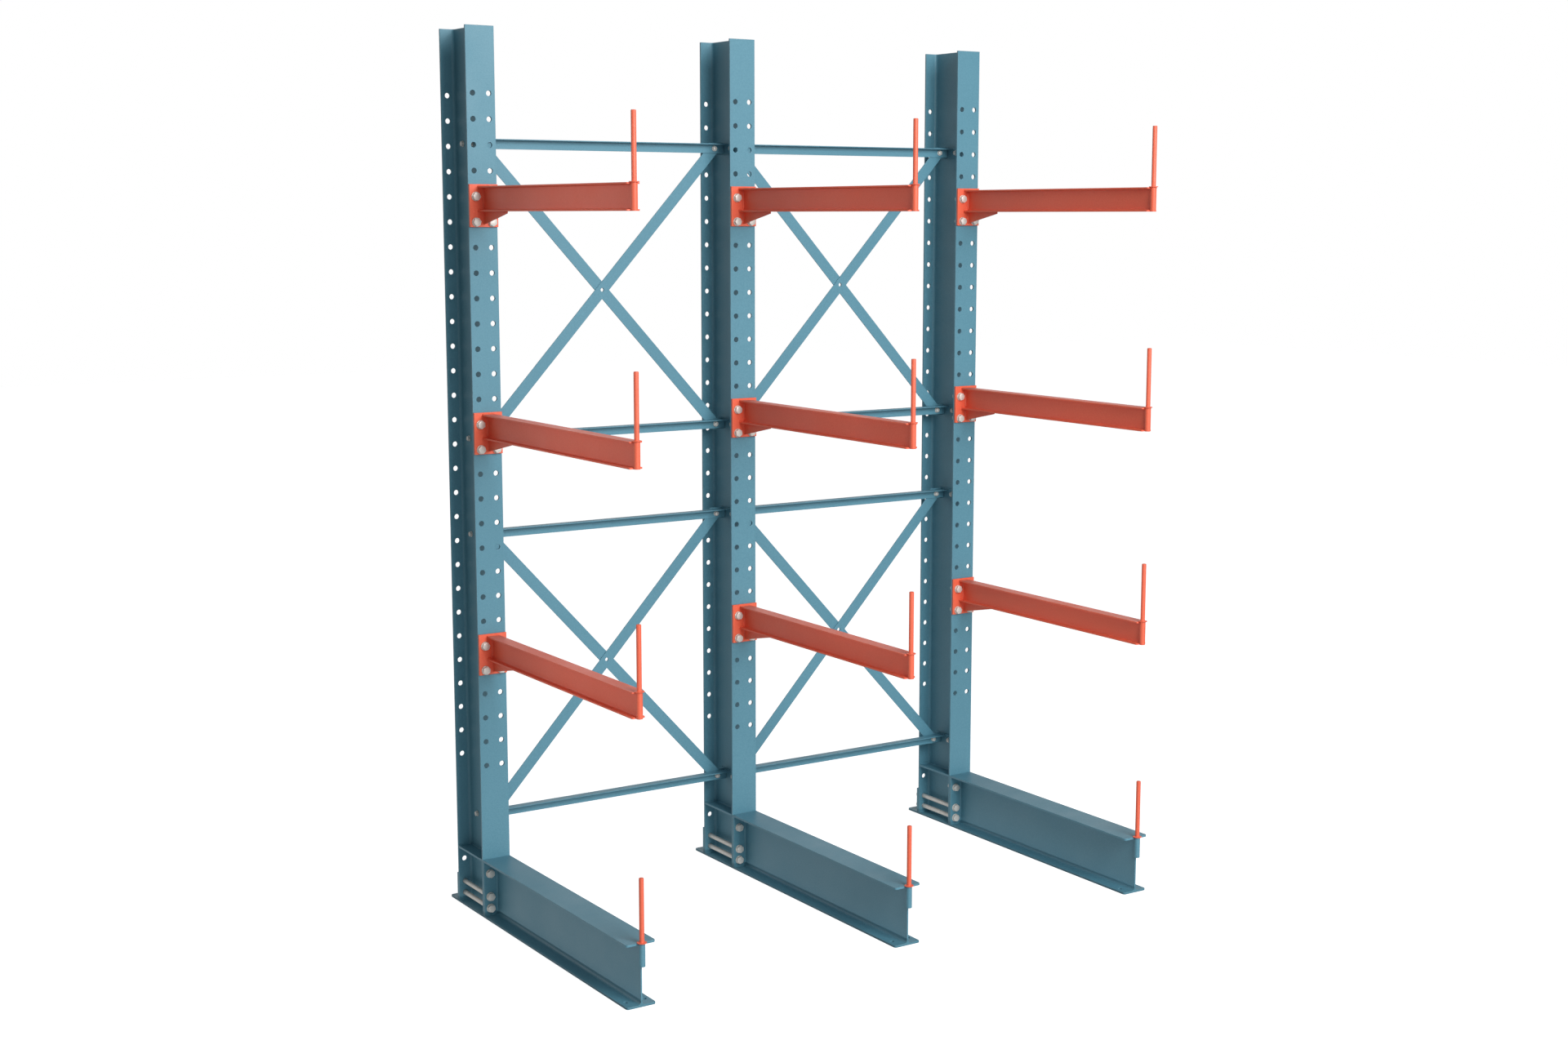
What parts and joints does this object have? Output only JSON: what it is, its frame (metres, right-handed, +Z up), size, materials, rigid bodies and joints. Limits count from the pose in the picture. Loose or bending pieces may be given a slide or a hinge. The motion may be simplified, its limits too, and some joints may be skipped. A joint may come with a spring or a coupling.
{
  "type": "cantilever rack",
  "caption": "Single-sided structural cantilever rack: drilled I-section columns on base beams, X-braced bays, bolted arms with lift-out stop pins",
  "frame": {"origin": "centre of the rack's footprint, on the floor", "axes": "+Z up; +X along the row, to the right as the loader faces the rack; the arms reach toward -Y from the columns"},
  "size_m": [2.575, 1.601, 3.658],
  "materials": {
    "blue_paint": "satin blue powder coat with a fine grain",
    "orange_paint": "satin orange powder coat with a fine grain",
    "zinc_plate": "dull zinc-plated bolts, nuts and washers"
  },
  "bodies": {
    "rack_frame": {"column_left": "blue_paint", "column_middle": "blue_paint", "column_right": "blue_paint", "base_left": "blue_paint", "base_middle": "blue_paint", "base_right": "blue_paint", "arm_upper_left": "orange_paint", "arm_upper_middle": "orange_paint", "arm_upper_right": "orange_paint", "arm_centre_left": "orange_paint", "arm_centre_middle": "orange_paint", "arm_centre_right": "orange_paint", "arm_lower_left": "orange_paint", "arm_lower_middle": "orange_paint", "arm_lower_right": "orange_paint", "brace_angle_top_left": "blue_paint", "brace_angle_top_right": "blue_paint", "brace_angle_upper_mid_left": "blue_paint", "brace_angle_upper_mid_right": "blue_paint", "brace_angle_lower_mid_left": "blue_paint", "brace_angle_lower_mid_right": "blue_paint", "brace_angle_bottom_left": "blue_paint", "brace_angle_bottom_right": "blue_paint", "clip_top_left_right": "blue_paint", "clip_top_middle_left": "blue_paint", "clip_top_middle_right": "blue_paint", "clip_top_right_left": "blue_paint", "clip_upper_mid_left_right": "blue_paint", "clip_upper_mid_middle_left": "blue_paint", "clip_upper_mid_middle_right": "blue_paint", "clip_upper_mid_right_left": "blue_paint", "clip_lower_mid_left_right": "blue_paint", "clip_lower_mid_middle_left": "blue_paint", "clip_lower_mid_middle_right": "blue_paint", "clip_lower_mid_right_left": "blue_paint", "clip_bottom_left_right": "blue_paint", "clip_bottom_middle_left": "blue_paint", "clip_bottom_middle_right": "blue_paint", "clip_bottom_right_left": "blue_paint", "diagonal_upper_rising_left": "blue_paint", "diagonal_upper_rising_right": "blue_paint", "diagonal_upper_falling_left": "blue_paint", "diagonal_upper_falling_right": "blue_paint", "diagonal_lower_rising_left": "blue_paint", "diagonal_lower_rising_right": "blue_paint", "diagonal_lower_falling_left": "blue_paint", "diagonal_lower_falling_right": "blue_paint"},
    "base_pin_left_body": {"base_pin_left": "orange_paint"},
    "base_pin_middle_body": {"base_pin_middle": "orange_paint"},
    "base_pin_right_body": {"base_pin_right": "orange_paint"},
    "arm_pin_upper_left_body": {"arm_pin_upper_left": "orange_paint"},
    "arm_pin_upper_middle_body": {"arm_pin_upper_middle": "orange_paint"},
    "arm_pin_upper_right_body": {"arm_pin_upper_right": "orange_paint"},
    "arm_pin_centre_left_body": {"arm_pin_centre_left": "orange_paint"},
    "arm_pin_centre_middle_body": {"arm_pin_centre_middle": "orange_paint"},
    "arm_pin_centre_right_body": {"arm_pin_centre_right": "orange_paint"},
    "arm_pin_lower_left_body": {"arm_pin_lower_left": "orange_paint"},
    "arm_pin_lower_middle_body": {"arm_pin_lower_middle": "orange_paint"},
    "arm_pin_lower_right_body": {"arm_pin_lower_right": "orange_paint"}
  },
  "joints": [
    {"name": "base_pin_left_lift", "type": "slide", "parent": "rack_frame", "child": "base_pin_left_body", "axis": [0, 0, 1], "range_m": [0, 0.1]},
    {"name": "base_pin_middle_lift", "type": "slide", "parent": "rack_frame", "child": "base_pin_middle_body", "axis": [0, 0, 1], "range_m": [0, 0.1]},
    {"name": "base_pin_right_lift", "type": "slide", "parent": "rack_frame", "child": "base_pin_right_body", "axis": [0, 0, 1], "range_m": [0, 0.1]},
    {"name": "arm_pin_upper_left_lift", "type": "slide", "parent": "rack_frame", "child": "arm_pin_upper_left_body", "axis": [0, 0, 1], "range_m": [0, 0.1]},
    {"name": "arm_pin_upper_middle_lift", "type": "slide", "parent": "rack_frame", "child": "arm_pin_upper_middle_body", "axis": [0, 0, 1], "range_m": [0, 0.1]},
    {"name": "arm_pin_upper_right_lift", "type": "slide", "parent": "rack_frame", "child": "arm_pin_upper_right_body", "axis": [0, 0, 1], "range_m": [0, 0.1]},
    {"name": "arm_pin_centre_left_lift", "type": "slide", "parent": "rack_frame", "child": "arm_pin_centre_left_body", "axis": [0, 0, 1], "range_m": [0, 0.1]},
    {"name": "arm_pin_centre_middle_lift", "type": "slide", "parent": "rack_frame", "child": "arm_pin_centre_middle_body", "axis": [0, 0, 1], "range_m": [0, 0.1]},
    {"name": "arm_pin_centre_right_lift", "type": "slide", "parent": "rack_frame", "child": "arm_pin_centre_right_body", "axis": [0, 0, 1], "range_m": [0, 0.1]},
    {"name": "arm_pin_lower_left_lift", "type": "slide", "parent": "rack_frame", "child": "arm_pin_lower_left_body", "axis": [0, 0, 1], "range_m": [0, 0.1]},
    {"name": "arm_pin_lower_middle_lift", "type": "slide", "parent": "rack_frame", "child": "arm_pin_lower_middle_body", "axis": [0, 0, 1], "range_m": [0, 0.1]},
    {"name": "arm_pin_lower_right_lift", "type": "slide", "parent": "rack_frame", "child": "arm_pin_lower_right_body", "axis": [0, 0, 1], "range_m": [0, 0.1]}
  ]
}
